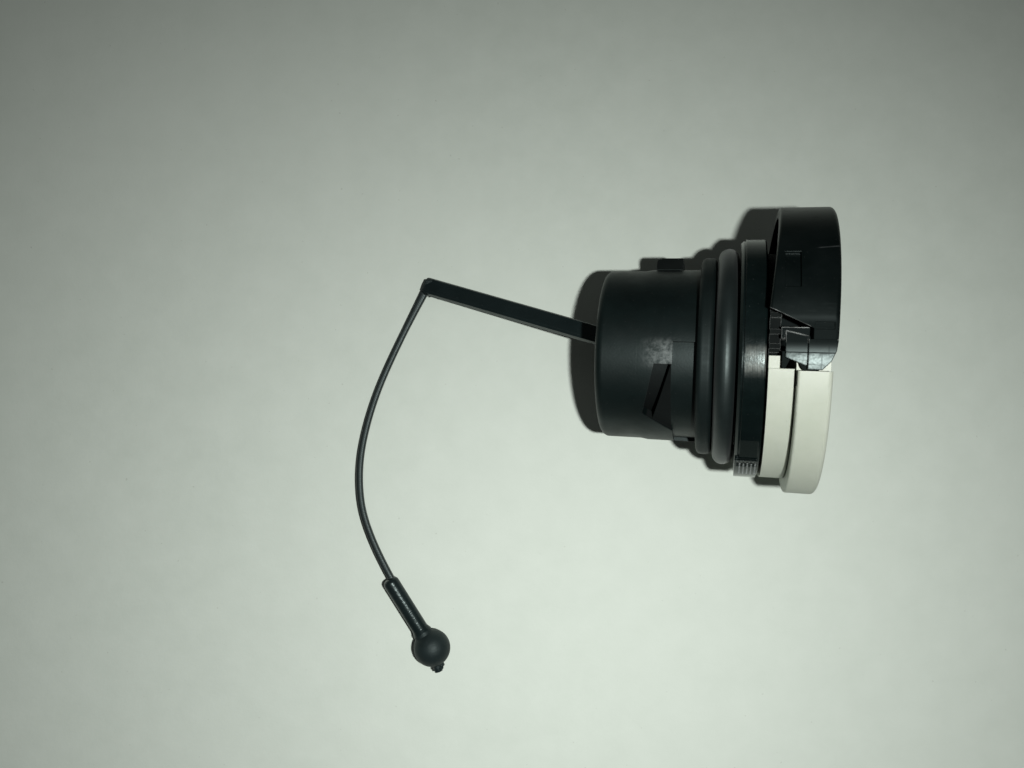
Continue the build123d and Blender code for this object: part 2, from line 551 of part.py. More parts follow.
def lying_roll(tilt, height):
    """Turn about the axis that brings the foot of the black skirt down to the table."""
    foot_y = SKIRT_END_FOOT - FOOT_ROUND * (SKIRT_END_FOOT - SKIRT_END_MID) / (HINGE_Z - SKIRT_FOOT)
    foot_x = sqrt(HEAD_R ** 2 - (foot_y - SHELL_OFFSET) ** 2)
    table = (height + (SKIRT_FOOT + FOOT_ROUND) * sin(radians(tilt))) / cos(radians(tilt))
    reach = hypot(foot_x, foot_y)
    return degrees(acos(table / reach) - atan2(foot_y, foot_x))


# ---- tether ---------------------------------------------------------------------------------------
def tether_foot():
    """Snap foot that swivels in the rotor's floor."""
    neck = FOOT_R
    return turned([
        (0, ARM_ROOT - 0.9), (neck + 0.5, ARM_ROOT - 0.9), (neck + 0.9, ARM_ROOT), (neck + 0.9, FLOOR_FOOT - 0.12),
        (neck, FLOOR_FOOT - 0.12), (neck, ROTOR_TOP + 0.12), (neck + 0.6, ROTOR_TOP + 0.12),
        (neck - 0.4, ROTOR_TOP + 1.5), (0, ROTOR_TOP + 1.5)])


def tether_arm(laid, fold):
    """Stiff bar from the swivel foot down to the fold on the table, with bevelled long edges."""
    root = (laid * Pos(0, 0, ARM_ROOT)).position
    tip = Vector(fold.X, fold.Y, ARM_TIP_HEIGHT)
    along = (tip - root).normalized()
    across = Vector(0, 0, 1).cross(along).normalized().rotate(Axis((0, 0, 0), along), ARM_ROLL)
    section = Plane(root, x_dir=across, z_dir=along) * chamfer(
        Rectangle(ARM_WIDTH, ARM_THICKNESS).vertices(), ARM_BEVEL)
    bar = extrude(section, (tip - root).length)
    block = extrude(make_face(Polyline(*FOLD_OUTLINE, close=True)), ARM_TIP_HEIGHT + ARM_THICKNESS / 2)
    block = chamfer(block.edges().group_by(Axis.Z)[-1], FOLD_BEVEL)
    return laid * tether_foot() + bar + Pos(fold.X, fold.Y, 0) * block


def strap_points(fold):
    return [Vector(fold.X + x, fold.Y + y, z) for x, y, z in STRAP_ROUTE]


def arc_radii(points):
    """Radius of each corner of a route: as large as its two runs allow."""
    radii = []
    for before, here, after in zip(points, points[1:], points[2:]):
        turn = (here - before).get_angle(after - here)
        radii.append(0.45 * min((here - before).length, (after - here).length) / tan(radians(turn / 2)))
    return radii


def tether_strap(fold):
    points = strap_points(fold)
    radii = arc_radii(points)
    path = FilletPolyline(*points, radius=radii)
    across = Vector(0, 0, 1).cross(path % 0)
    section = Plane(path @ 0, x_dir=across, z_dir=path % 0) * RectangleRounded(STRAP_WIDTH, STRAP_DEPTH, STRAP_ROUND)
    strap = sweep(section, path)
    print("strap radii", [round(r, 1) for r in radii], "length", round(path.length, 2),
          "volume ratio", round(strap.volume / (path.length * section.area), 4))
    return strap


def anchor_place(fold):
    """Start of the barrel, round the strap's end, heading level for the ball's centre."""
    points = strap_points(fold)
    run = points[-1] - points[-2]
    heading = Vector(run.X, run.Y, 0).rotate(Axis.Z, BARREL_TURN).normalized()
    sideways = Vector(0, 0, 1).cross(heading)
    start = Vector(points[-1].X, points[-1].Y, BALL_R) - heading * BARREL_ROUND - sideways * BARREL_OFFSET
    return Plane(start, x_dir=sideways, z_dir=heading).location


def tether_anchor(fold):
    """Barrel with a rounded start, the ball that stays in the tank and the sprue nub on the ball."""
    neck = BALL_Z - BALL_R
    barrel = turned([(0, 0), (BARREL_R, 0), (BARREL_R, neck - 0.8), (BARREL_R + 0.3, neck), (BARREL_R + 0.3, BALL_Z),
                     (0, BALL_Z)])
    barrel = fillet(rim(barrel, BARREL_R, 0), BARREL_ROUND)
    nub = Rot(0, -NUB_TURN, 0) * rod(NUB_R, 0, BALL_R + NUB_LENGTH)
    return anchor_place(fold) * (barrel + Pos(0, 0, BALL_Z) * (Sphere(BALL_R) + nub))


# ---- assembly -------------------------------------------------------------------------------------
def cap_pieces():
    return {
        "plug_body": plug_body(), "seal_ring": seal_ring(),
        "lock_rotor": lock_rotor(), "rotor_screws": rotor_screws(), "hub_seal": hub_seal(),
        "head_hub": head_hub(), "spring_washer": spring_washer(), "head_shell": head_shell(),
        "seat_cover": seat_cover(), "flip_grip": flip_grip(), "hinge_pin": hinge_pin(), "grip_spring": grip_spring(),
    }


def outer_corners(pieces):
    """Opposite corners of the box round all pieces."""
    boxes = [piece.bounding_box() for piece in pieces]
    low = Vector(*[min(getattr(b.min, axis) for b in boxes) for axis in "XYZ"])
    high = Vector(*[max(getattr(b.max, axis) for b in boxes) for axis in "XYZ"])
    return low, high


def main():
    tilt, height = lying_angles()
    roll = lying_roll(tilt, height)
    laid = Pos(0, 0, height) * Rot(0, 90 - tilt, 0) * Rot(0, 0, roll)
    fold = Vector(*ARM_REACH)
    pieces = {name: laid * piece for name, piece in cap_pieces().items()}
    pieces["tether_arm"] = tether_arm(laid, fold)
    low, high = outer_corners(pieces.values())
    pieces["tether_strap"] = tether_strap(fold)
    pieces["tether_anchor"] = tether_anchor(fold)
    home = Pos(-(low.X + high.X) / 2, -(low.Y + high.Y) / 2, -low.Z)
    os.makedirs("parts", exist_ok=True)
    for name, piece in pieces.items():
        export_step(home * piece, f"parts/{name}.step")
    frame = home * laid
    print("tilt", round(tilt, 3), "roll", round(roll, 3), "lowest", round(low.Z, 3), "size", high - low)
    print("axis origin", frame.position, "axis", (frame * Pos(0, 0, 1)).position - frame.position)
    print("hinge point", (frame * Pos(0, 0, HINGE_Z)).position,
          "hinge axis", (frame * Pos(1, 0, 0)).position - frame.position)
    print("fold", (home * Pos(fold.X, fold.Y, 0)).position)
    print("ball centre", (home * anchor_place(fold) * Pos(0, 0, BALL_Z)).position)


main()
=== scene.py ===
import json
from math import cos, radians, sin

import bmesh
import bpy
from mathutils import Matrix, Vector, noise


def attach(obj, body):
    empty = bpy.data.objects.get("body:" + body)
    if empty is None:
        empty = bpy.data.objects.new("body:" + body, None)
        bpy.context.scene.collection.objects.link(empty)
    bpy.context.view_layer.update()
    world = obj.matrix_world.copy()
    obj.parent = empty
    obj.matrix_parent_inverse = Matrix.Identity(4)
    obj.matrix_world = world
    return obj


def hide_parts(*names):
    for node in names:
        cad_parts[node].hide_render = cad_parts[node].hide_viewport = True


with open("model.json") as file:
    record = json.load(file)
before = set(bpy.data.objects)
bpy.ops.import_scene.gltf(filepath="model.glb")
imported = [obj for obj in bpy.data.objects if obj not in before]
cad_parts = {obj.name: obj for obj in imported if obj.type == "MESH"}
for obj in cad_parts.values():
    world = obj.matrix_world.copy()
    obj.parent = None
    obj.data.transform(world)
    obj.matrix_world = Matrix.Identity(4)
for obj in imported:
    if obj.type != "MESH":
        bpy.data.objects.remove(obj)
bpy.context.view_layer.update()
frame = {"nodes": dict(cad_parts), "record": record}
MM = 0.001

# Sizes in mm, the same as in the part. Places along the axis (Z) count from the plug's open end.
TURN_JOINT_Z = 14.8
PLUG_R = 14.0
PILOT_CONE_Z = (6.4, 7.6)
SHOULDER_Z = (15.3, 17.7)
BALL_CENTRE = Vector((-30.852, -55.223, 3.305))      # in the scene, not along the axis

# Reach of the masks for roughness, wear, painted shade and painted highlights in mm: each goes a little past the
# form that it covers.
LUG_Z = (7.0, 13.5)
BEYOND_LUG_R = 17.0
POCKET_Z = (7.95, 11.6)
FLANGE_Z = (21.2, 26.0)
FLANGE_HIGHLIGHT_Z = (22.2, 24.8)
HOLLOW_Z = (20.0, 33.8)
INSIDE_SHELL_R = 20.5
ABOVE_EAR_Z = (25.0, 34.0)
EAR_INSIDE, EAR_OUTSIDE = 19.45, 21.0      # the ears' outer faces lie between, on both sides of the axis
BALL_REACH = 3.6

TEAL = (0.84, 1.0, 0.98, 1)      # cast of the highlights on the blacks


# ---- small helpers ---------------------------------------------------------------------------------
def link(obj):
    bpy.context.scene.collection.objects.link(obj)
    return obj


def mesh_object(name, bm, smooth=True):
    mesh = bpy.data.meshes.new(name)
    bm.to_mesh(mesh)
    bm.free()
    for poly in mesh.polygons:
        poly.use_smooth = smooth
    return link(bpy.data.objects.new(name, mesh))


def closed_object(name, bm, smooth=True):
    """Object of a closed mesh, with its faces turned outwards."""
    bmesh.ops.recalc_face_normals(bm, faces=bm.faces)
    return mesh_object(name, bm, smooth)


def skin(bm, rings):
    """Close a row of rings into a solid. Gives each wall face with its ring's and its corner's number."""
    walls = []
    for i, (one, two) in enumerate(zip(rings, rings[1:])):
        for k in range(len(one)):
            m = (k + 1) % len(one)
            walls.append((bm.faces.new((one[k], one[m], two[m], two[k])), i, k))
    bm.faces.new(rings[0][::-1])
    bm.faces.new(rings[-1])
    return walls


def joint(name):
    return next(j for j in frame["record"]["behaviour"]["joints"] if j["name"] == name)


# The cap's own frame: origin on its axis at the plug's open end, Z along the axis, X along the grip's
# hinge line and away from the camera, Y to the black half.
TURN, FLIP = joint("head_turn"), joint("grip_flip")
AXIS = Vector(TURN["axis"]).normalized()
HINGE_DIR = -Vector(FLIP["axis"]).normalized()
CROSS = AXIS.cross(HINGE_DIR)
CAP_ORIGIN = Vector(TURN["pos_m"]) - AXIS * TURN_JOINT_Z * MM
CAP = Matrix((
    (HINGE_DIR.x, CROSS.x, AXIS.x, CAP_ORIGIN.x),
    (HINGE_DIR.y, CROSS.y, AXIS.y, CAP_ORIGIN.y),
    (HINGE_DIR.z, CROSS.z, AXIS.z, CAP_ORIGIN.z),
    (0, 0, 0, 1)))


def in_cap(x, y, z):
    """Point of the cap's own frame, given in mm, in the scene."""
    return CAP @ Vector((x * MM, y * MM, z * MM))


# ---- materials -------------------------------------------------------------------------------------
class Nodes:
    """Thin wrapper that keeps a material's node code short."""

    def __init__(self, name):
        self.mat = bpy.data.materials.new(name)
        self.mat.use_nodes = True
        self.tree = self.mat.node_tree
        self.bsdf = self.tree.nodes["Principled BSDF"]
        self.coords = self.tree.nodes.new("ShaderNodeTexCoord").outputs["Object"]

    def add(self, kind, **values):
        node = self.tree.nodes.new(kind)
        for key, value in values.items():
            setattr(node, key, value)
        return node

    def join(self, a, b):
        self.tree.links.new(a, b)

    def feed(self, value, socket):
        """Join a socket to an input, or set the input to a number or colour."""
        if isinstance(value, bpy.types.NodeSocket):
            self.join(value, socket)
        elif socket.type == "RGBA" and len(value) == 3:
            socket.default_value = (*value, 1)
        else:
            socket.default_value = value

    def surface(self, inputs):
        """Feed the named inputs of the shader."""
        for name, value in inputs.items():
            self.feed(value, self.bsdf.inputs[name])

    # sources
    def noise(self, scale, detail=3.0, roughness=0.5, stretch=None, where=None):
        where = where or self.coords
        if stretch:
            mapping = self.add("ShaderNodeMapping")
            mapping.inputs["Scale"].default_value = stretch
            self.join(where, mapping.inputs["Vector"])
            where = mapping.outputs["Vector"]
        node = self.add("ShaderNodeTexNoise")
        node.inputs["Scale"].default_value = scale
        node.inputs["Detail"].default_value = detail
        node.inputs["Roughness"].default_value = roughness
        self.join(where, node.inputs["Vector"])
        return node.outputs["Fac"]

    def vector_math(self, operation, a, b):
        node = self.add("ShaderNodeVectorMath", operation=operation)
        self.feed(a, node.inputs[0])
        self.feed(b, node.inputs[1])
        return node.outputs

    def cap_frame(self):
        """Place on the surface in the cap's own frame, in mm, as x, y and z sockets."""
        from_origin = self.vector_math("SUBTRACT", self.coords, CAP_ORIGIN)["Vector"]
        return [self.vector_math("DOT_PRODUCT", from_origin, direction / MM)["Value"]
                for direction in (HINGE_DIR, CROSS, AXIS)]

    def from_axis(self, x, y):
        """Distance from the cap's axis in mm."""
        return self.math("SQRT", self.plus(self.times(x, x), self.times(y, y)))

    def turned(self, place, along, round_about, detail):
        """Noise drawn out into lines round the cap's axis, at a place in the cap's own frame."""
        x, y, z = place
        node = self.add("ShaderNodeCombineXYZ")
        self.join(self.times(z, along), node.inputs["X"])
        self.join(self.times(self.math("ARCTAN2", y, x), round_about), node.inputs["Y"])
        return self.noise(1.0, detail, 0.55, None, node.outputs["Vector"])

    def bevelled(self, radius, samples):
        """Normal that turns smoothly over the edges, within a radius in mm."""
        node = self.add("ShaderNodeBevel", samples=samples)
        node.inputs["Radius"].default_value = radius * MM
        return node.outputs["Normal"]

    def edges(self, radius):
        """White on sharp edges, from the bevelled normal."""
        flat = self.add("ShaderNodeNewGeometry").outputs["Normal"]
        turn = self.vector_math("DOT_PRODUCT", self.bevelled(radius, 4), flat)["Value"]
        return self.ramp(turn, [(0.72, 1.0), (0.985, 0.0)])

    # numbers
    def math(self, operation, a, b=0.0):
        node = self.add("ShaderNodeMath", operation=operation)
        self.feed(a, node.inputs[0])
        self.feed(b, node.inputs[1])
        return node.outputs[0]

    def times(self, first, *others):
        for other in others:
            first = self.math("MULTIPLY", first, other)
        return first

    def plus(self, first, *others):
        for other in others:
            first = self.math("ADD", first, other)
        return first

    def slope(self, value, start, end, low=0.0, high=1.0, kind="LINEAR"):
        """From low at start to high at end, and level outside."""
        node = self.add("ShaderNodeMapRange", interpolation_type=kind)
        self.join(value, node.inputs["Value"])
        for name, number in (("From Min", start), ("From Max", end), ("To Min", low), ("To Max", high)):
            node.inputs[name].default_value = number
        return node.outputs["Result"]

    def within(self, value, low, high, soft):
        """1 between two values, fading out over soft."""
        return self.times(self.slope(value, low - soft, low, kind="SMOOTHSTEP"),
                          self.slope(value, high + soft, high, kind="SMOOTHSTEP"))

    # colours
    def ramp(self, value, stops):
        """Colour ramp with stops of (position, grey)."""
        node = self.add("ShaderNodeValToRGB")
        elements = node.color_ramp.elements
        for element, (position, shade) in zip(elements, stops):
            element.position = position
            element.color = (*shade, 1) if isinstance(shade, tuple) else (shade, shade, shade, 1)
        self.join(value, node.inputs["Fac"])
        return node.outputs["Color"]

    def fade(self, value, low, high):
        """Black up to low and white from high."""
        return self.ramp(value, [(low, 0.0), (high, 1.0)])

    def mix(self, factor, a, b):
        node = self.add("ShaderNodeMix", data_type="RGBA")
        self.feed(factor, node.inputs[0])
        self.feed(a, node.inputs[6])
        self.feed(b, node.inputs[7])
        return node.outputs[2]

    def bump(self, heights, normal=None):
        """Chain of bumps from (height socket, strength, distance in mm)."""
        for height, strength, distance in heights:
            node = self.add("ShaderNodeBump")
            node.inputs["Strength"].default_value = strength
            node.inputs["Distance"].default_value = distance * MM
            self.join(height, node.inputs["Height"])
            if normal:
                self.join(normal, node.inputs["Normal"])
            normal = node.outputs["Normal"]
        self.join(normal, self.bsdf.inputs["Normal"])

    def rounded_bump(self, heights, radius):
        """Bumps on a normal that softens sharp edges over a radius in mm."""
        self.bump(heights, self.bevelled(radius, 6))


def moulded(name, base, light, rough, grain, dust=0.25, edge=None, sheen=0.0, gloss=0.4, extra=None):
    """Moulded plastic: mottled colour, eroded texture, fine dust, and pale edges that are wear on the plug and the
    tether and painted glints on the hub.
    """
    n = Nodes(name)
    flow = n.noise(420, 5, 0.6)
    rubbed = n.fade(n.noise(170, 5, 0.65, (1, 2, 1)), 0.45, 0.72)
    specks = n.fade(n.noise(5200, 1, 0.4), 0.77, 0.79)
    colour = n.mix(n.fade(n.noise(90, 3), 0.3, 0.75), base, light)
    colour = n.mix(n.times(rubbed, 0.35), colour, tuple(c * 1.9 for c in light))
    colour = n.mix(n.times(specks, dust), colour, tuple(c * 0.6 + 0.12 for c in light))
    if edge:
        # pale edges: worn edges on the plug and the tether, painted glints on the hub
        edge_wear_and_glint = n.times(n.edges(0.12), n.ramp(flow, [(0.35, 0.1), (0.7, 0.8)]))
        colour = n.mix(edge_wear_and_glint, colour, edge)
    uneven = n.plus(n.times(flow, 0.18), n.times(rubbed, -0.08), rough - 0.07)
    heights = [(n.noise(3200, 2), 0.3, grain), (flow, 0.25, grain * 1.5)]
    if extra:
        colour, uneven = extra(n, colour, uneven, heights)
    n.surface({"Base Color": colour, "Roughness": uneven, "Specular IOR Level": gloss, "Specular Tint": TEAL,
               "Sheen Weight": sheen})
    n.rounded_bump(heights, 0.15)
    return n.mat


def plug_wear(n, colour, rough, heights):
    """Turned lines on the flange, a softened pilot cone, painted shade darkening the pocket and the key lug, a
    painted highlight on the flange, and a pale patch on the plug that is partly scuffs and partly a painted
    highlight.
    """
    x, y, z = place = n.cap_frame()
    radius = n.from_axis(x, y)

    flange = n.within(z, *FLANGE_Z, 0.05)
    lines = n.turned(place, 9.0, 1.6, 2)
    rough = n.math("SUBTRACT", rough, n.times(flange, n.plus(n.times(lines, 0.1), 0.2)))
    heights.append((n.times(flange, lines), 0.3, 0.02))
    heights.append((n.slope(z, *PILOT_CONE_Z, 1.0, 0.0), 1.0, 0.2))

    # painted shade: the ramp pocket and the key lug's face are coloured near black where they lie in shade
    pocket = n.times(n.within(radius, 0.0, PLUG_R - 0.2, 0.1), n.within(z, *POCKET_Z, 0.08))
    lug = n.times(n.within(radius, PLUG_R + 0.12, BEYOND_LUG_R, 0.08), n.within(z, *LUG_Z, 0.05))
    painted_shade = n.math("MAXIMUM", pocket, lug)
    colour = n.mix(painted_shade, colour, (0.0012, 0.0015, 0.0015))
    rough = n.plus(rough, n.times(painted_shade, 0.55), n.times(n.within(z, *SHOULDER_Z, 0.1), 0.12))

    # painted highlight: a pale streaky patch on the flange's top, where the lamp's highlight falls; it shows from
    # every side
    painted_flange_highlight = n.times(
        n.within(z, *FLANGE_HIGHLIGHT_Z, 0.3), n.within(y, -0.7, 0.7, 1.9), n.within(x, -20.0, -15.0, 1.0),
        n.ramp(lines, [(0.3, 0.25), (0.6, 1.0)]), n.ramp(n.noise(1100, 4, 0.7), [(0.35, 0.3), (0.6, 1.0)]))
    colour = n.mix(painted_flange_highlight, colour, (0.15, 0.157, 0.145))

    # partly scuffs, partly a painted highlight: a pale mottled patch on the plug under the lamp, brighter towards
    # the flange
    scuff_and_highlight_spot = n.times(
        n.within(z, 8.6, 11.2, 2.2), n.within(y, -0.6, 1.6, 1.6), n.within(x, -16.0, -12.0, 1.0),
        n.within(radius, PLUG_R - 0.1, BEYOND_LUG_R, 0.05))
    brighter_towards_flange = n.ramp(n.times(n.math("SUBTRACT", z, 7.0), 0.22), [(0.1, 0.3), (0.9, 1.0)])
    scuffed = n.ramp(n.noise(1300, 4, 0.7), [(0.38, 0.05), (0.62, 1.0)])
    colour = n.mix(n.times(scuff_and_highlight_spot, brighter_towards_flange, scuffed), colour, (0.11, 0.12, 0.118))
    return colour, rough


def tether_wear(n, colour, rough, heights):
    """The ball is dull; the barrel and the arm keep more of their shine."""
    from_ball = n.vector_math("DISTANCE", n.coords, BALL_CENTRE * MM)["Value"]
    ball = n.within(from_ball, 0.0, BALL_REACH * MM, 0.3 * MM)
    heights.append((n.noise(1300, 4, 0.7), 0.8, 0.06))
    return colour, n.plus(rough, n.times(ball, 0.26), -0.12)


def strap_plastic(name):
    """Soft moulded strap with the fine cross hatching that its mould leaves, laid along its length."""
    n = Nodes(name)
    along = n.add("ShaderNodeUVMap", uv_map="run").outputs["UV"]
    hatch = n.add("ShaderNodeTexWave", wave_type="BANDS", bands_direction="DIAGONAL")
    hatch.inputs["Scale"].default_value = 1.7
    hatch.inputs["Distortion"].default_value = 3.5
    hatch.inputs["Detail"].default_value = 2.0
    n.join(along, hatch.inputs["Vector"])
    grain = n.noise(7.0, 2, 0.5, None, along)
    colour = n.mix(n.fade(n.noise(60, 4, 0.6), 0.3, 0.7), (0.0045, 0.0068, 0.0068), (0.0095, 0.0136, 0.0136))
    # painted glints: pale specks along the grain
    colour = n.mix(n.times(n.fade(grain, 0.64, 0.72), 0.3), colour, (0.05, 0.058, 0.058))
    n.surface({"Base Color": colour, "Roughness": n.plus(n.times(grain, 0.2), 0.34),
               "Specular IOR Level": 0.4, "Specular Tint": TEAL})
    n.bump([(hatch.outputs["Fac"], 0.35, 0.03), (grain, 0.45, 0.04)])
    return n.mat


def glossy_black(name):
    """Polished moulding with hairline scratches, a little lint, dull hollows, scuffed hinge ears, and painted
    glints on edges beside the hinge.
    """
    n = Nodes(name)
    x, y, z = n.cap_frame()
    depth = n.math("ABSOLUTE", x)

    cloud = n.noise(160, 4, 0.6)
    hair = n.fade(n.noise(300, 2, 0.5, (1, 14, 3)), 0.64, 0.7)
    cross = n.fade(n.noise(260, 2, 0.5, (9, 1, 5)), 0.66, 0.72)
    lint = n.fade(n.noise(4300, 1, 0.4), 0.775, 0.79)
    colour = n.mix(n.fade(cloud, 0.35, 0.7), (0.0012, 0.0025, 0.0024), (0.0032, 0.005, 0.005))
    colour = n.mix(n.times(lint, 0.12), colour, (0.14, 0.15, 0.145))

    # one short scratch on the shell's side, close under its top face
    scratch_y, slant = 13.13, 0.084
    off_line = n.math("SUBTRACT", y, n.plus(n.times(z, slant), scratch_y))
    scratch = n.times(n.within(off_line, -0.05, 0.05, 0.07), n.within(z, 32.0, 33.7, 1.2),
                      n.ramp(n.noise(900, 3), [(0.3, 0.3), (0.6, 1.0)]))
    colour = n.mix(scratch, colour, (0.032, 0.036, 0.036))

    # painted glints: pale edges beside the hinge
    painted_edge_glint = n.times(n.within(y, 3.2, 9.0, 0.8), n.within(z, 24.0, 30.1, 0.3), n.edges(0.25),
                        n.ramp(n.noise(330, 2), [(0.42, 0.08), (0.6, 1.0)]))
    colour = n.mix(painted_edge_glint, colour, (0.62, 0.65, 0.63))

    hollow = n.times(n.within(depth, 0.0, EAR_INSIDE - 0.05, 0.05),
                     n.within(n.from_axis(x, y), 0.0, INSIDE_SHELL_R, 0.1), n.within(z, *HOLLOW_Z, 0.1))
    above_ear = n.times(n.within(y, 3.0, 5.1, 1.5), n.within(z, *ABOVE_EAR_Z, 0.3))
    ear = n.times(n.within(depth, EAR_INSIDE, EAR_OUTSIDE, 0.05), n.within(y, -3.6, 1.2, 0.2))
    rough = n.plus(n.times(cloud, 0.16), n.times(n.plus(hair, cross), 0.06), 0.26,
                   n.times(n.math("MAXIMUM", hollow, above_ear), 0.5), n.times(ear, -0.04))
    scuff = n.times(ear, n.noise(750, 2, 0.6))
    n.surface({"Base Color": colour, "Roughness": rough, "Specular IOR Level": 0.18, "Specular Tint": TEAL})
    n.rounded_bump([(cloud, 0.3, 0.04), (n.noise(1500, 3), 0.3, 0.012), (scuff, 0.6, 0.05)], 0.2)
    return n.mat


def off_white(name):
    """Pale moulded plastic with faint smears and specks of grime."""
    n = Nodes(name)
    cloud = n.noise(120, 4, 0.6)
    smear = n.fade(n.noise(240, 4, 0.65, (1, 3, 1)), 0.6, 0.78)
    specks = n.fade(n.noise(3600, 1, 0.4), 0.77, 0.785)
    colour = n.mix(n.fade(cloud, 0.3, 0.72), (0.375, 0.405, 0.342), (0.43, 0.455, 0.392))
    colour = n.mix(n.times(smear, 0.18), colour, (0.33, 0.34, 0.28))
    colour = n.mix(n.times(specks, 0.25), colour, (0.22, 0.22, 0.2))
    n.surface({"Base Color": colour, "Roughness": n.plus(n.times(cloud, 0.2), 0.38),
               "Specular IOR Level": 0.4, "Subsurface Weight": 0.5})
    n.bsdf.inputs["Subsurface Radius"].default_value = (1.6 * MM, 1.6 * MM, 1.4 * MM)
    n.rounded_bump([(n.noise(2200, 2), 0.25, 0.02), (cloud, 0.3, 0.04)], 0.1)
    return n.mat


def steel(name):
    """Brushed spring steel."""
    n = Nodes(name)
    brushed = n.noise(900, 3, 0.6, (1, 1, 12))
    colour = n.ramp(brushed, [(0.3, (0.36, 0.36, 0.37)), (0.75, (0.62, 0.62, 0.61))])
    n.surface({"Base Color": colour, "Roughness": n.plus(n.times(brushed, 0.25), 0.2), "Metallic": 1.0})
    n.bump([(brushed, 0.3, 0.01)])
    return n.mat


def paper(name):
    """Uncoated sheet: cloudy formation, fibres and a few specks."""
    n = Nodes(name)
    mottled = n.noise(160, 5, 0.65)
    fleck = n.fade(n.noise(1300, 1, 0.4), 0.79, 0.8)
    colour = n.mix(n.fade(mottled, 0.3, 0.7), (0.52, 0.57, 0.515), (0.56, 0.61, 0.555))
    colour = n.mix(n.times(n.fade(n.noise(9, 3, 0.5), 0.35, 0.7), 0.5), colour, (0.585, 0.63, 0.577))
    colour = n.mix(n.times(fleck, 0.3), colour, (0.3, 0.31, 0.27))
    n.surface({"Base Color": colour, "Roughness": 0.9, "Specular IOR Level": 0.2})
    n.bump([(n.noise(1500, 4, 0.7), 0.35, 0.05), (mottled, 0.3, 0.2)])
    return n.mat


plug_black = moulded("plug black", (0.0013, 0.0031, 0.0031), (0.0036, 0.0065, 0.0064), 0.44, 0.03,
                     edge=(0.03, 0.033, 0.033), gloss=0.22, extra=plug_wear)
# the hub's pale edge colour is painted glints
hub_black = moulded("hub black", (0.0015, 0.002, 0.0019), (0.0035, 0.0042, 0.004), 0.84, 0.03, gloss=0.15,
                    edge=(0.3, 0.32, 0.31))
rotor_black = moulded("rotor black", (0.0014, 0.0018, 0.0018), (0.003, 0.0036, 0.0036), 0.62, 0.03, gloss=0.15)
tether_black = moulded("tether black", (0.005, 0.0088, 0.0092), (0.0085, 0.0132, 0.0137), 0.4, 0.045,
                       edge=(0.03, 0.034, 0.036), gloss=0.3, extra=tether_wear)
strap_black = strap_plastic("strap black")
rubber = moulded("seal rubber", (0.0028, 0.0052, 0.0052), (0.0064, 0.0096, 0.0096), 0.45, 0.02, dust=0.15,
                 sheen=0.05)
# painted highlight: the pale grey of the knurl studs stands in for their glints
painted_glint_black = moulded("painted glint black", (0.1, 0.11, 0.105), (0.22, 0.235, 0.23), 0.42, 0.03)
shell_black = glossy_black("shell black")
white = off_white("grip white")
metal = steel("spring steel")

SLOTS = {
    "plug_body": plug_black, "seal_ring": rubber, "head_hub": hub_black, "head_shell": shell_black,
    "seat_cover": white, "flip_grip": white, "lock_rotor": rotor_black, "rotor_screws": metal,
    "hub_seal": rubber, "spring_washer": metal, "grip_spring": metal, "hinge_pin": metal,
    "tether_arm": tether_black, "tether_anchor": tether_black,
}
for node, material in SLOTS.items():
    slots = frame["nodes"][node].data.materials
    slots.clear()
    slots.append(material)


# ---- camera and paper ------------------------------------------------------------------------------
# the camera's lens, place and turn are fitted to the outlines in the photo
camera_data = bpy.data.cameras.new("camera")
camera_data.sensor_width = 36
camera_data.lens = 28.125
camera_data.clip_start = 0.005
camera = link(bpy.data.objects.new("camera", camera_data))
camera.location = (-18.217 * MM, -6.935 * MM, 148.2 * MM)
camera.rotation_euler = (0, 0, radians(2.2))
bpy.context.scene.camera = camera

bm = bmesh.new()
bmesh.ops.create_grid(bm, x_segments=1, y_segments=1, size=0.6)
floor = mesh_object("paper", bm, smooth=False)
floor.data.materials.append(paper("pale paper"))


# ---- the strap -------------------------------------------------------------------------------------
FOLD = (-34.481, 10.377)      # mm, where the stiff arm ends and the strap begins
STRAP_ROUTE = [      # mm, from the fold
    (0.0, 0.0, 0.75), (-5.3, -11.3, 0.85), (-9.6, -22.9, 1.3), (-11.4, -34.4, 2.0), (-9.3, -45.3, 2.75),
    (-3.8, -54.0, 3.3)]
STRAP_WIDTH, STRAP_DEPTH, STRAP_CORNER = 1.1 * MM, 1.3 * MM, 0.3 * MM
STRAP_FLARE, FLARE_RUN = 0.4 * MM, 10      # added to the width at the fold, fading out over a run in mm
UV_PER_CORNER = 0.4


def smooth_path(route):
    """Points of a smooth curve along the route, which starts at the fold."""
    curve = bpy.data.curves.new("strap route", "CURVE")
    curve.dimensions = "3D"
    curve.resolution_u = 24
    spline = curve.splines.new("NURBS")
    spline.points.add(len(route) - 1)
    for point, (x, y, z) in zip(spline.points, route):
        point.co = ((FOLD[0] + x) * MM, (FOLD[1] + y) * MM, z * MM, 1)
    spline.order_u = 3
    spline.use_endpoint_u = True
    route_object = link(bpy.data.objects.new("strap route", curve))
    bpy.context.view_layer.update()
    route_mesh = bpy.data.meshes.new_from_object(route_object)
    points = [v.co.copy() for v in route_mesh.vertices]
    bpy.data.meshes.remove(route_mesh)
    bpy.data.objects.remove(route_object)
    return points


